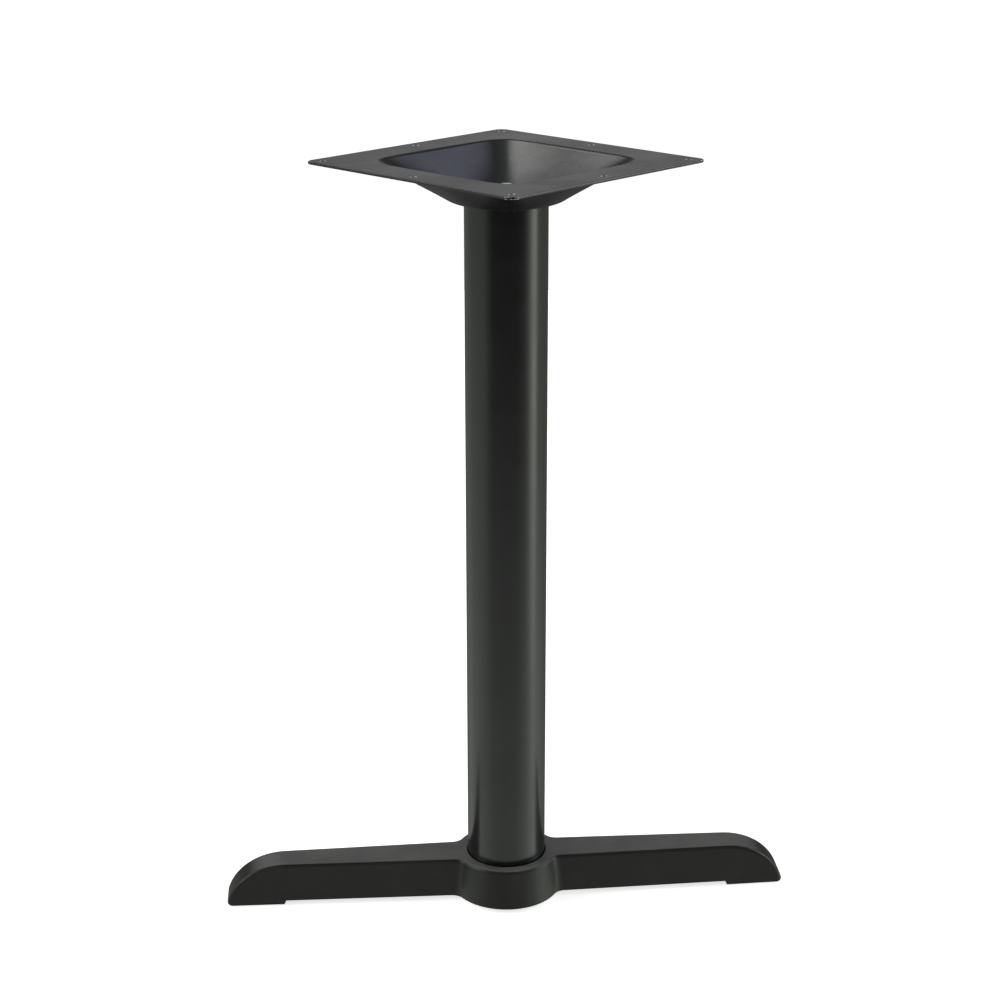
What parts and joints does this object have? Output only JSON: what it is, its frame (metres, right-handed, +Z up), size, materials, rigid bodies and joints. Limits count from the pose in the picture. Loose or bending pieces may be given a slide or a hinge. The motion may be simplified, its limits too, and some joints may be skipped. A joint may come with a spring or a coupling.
{
  "type": "column table base",
  "caption": "Black table base: a long cast foot with nose-down arms, a round steel column and a square dished plate that screws under a table top.",
  "frame": {"origin": "on the floor, on the column's axis", "axes": "+X along the arms of the foot, +Y across them, away from the viewer in the picture, +Z up the column"},
  "size_m": [0.5538, 0.3512, 0.73],
  "materials": {
    "foot_paint": "satin black powder coat over a sand casting",
    "steel_paint": "satin black powder coat on steel",
    "zinc": "bright zinc plating"
  },
  "bodies": {
    "root": {"base_casting": "foot_paint", "column_tube": "steel_paint", "top_plate": "steel_paint", "tie_rod": "zinc", "top_washer": "zinc", "top_nut": "zinc", "bottom_washer": "zinc", "bottom_nut": "zinc"}
  },
  "joints": []
}
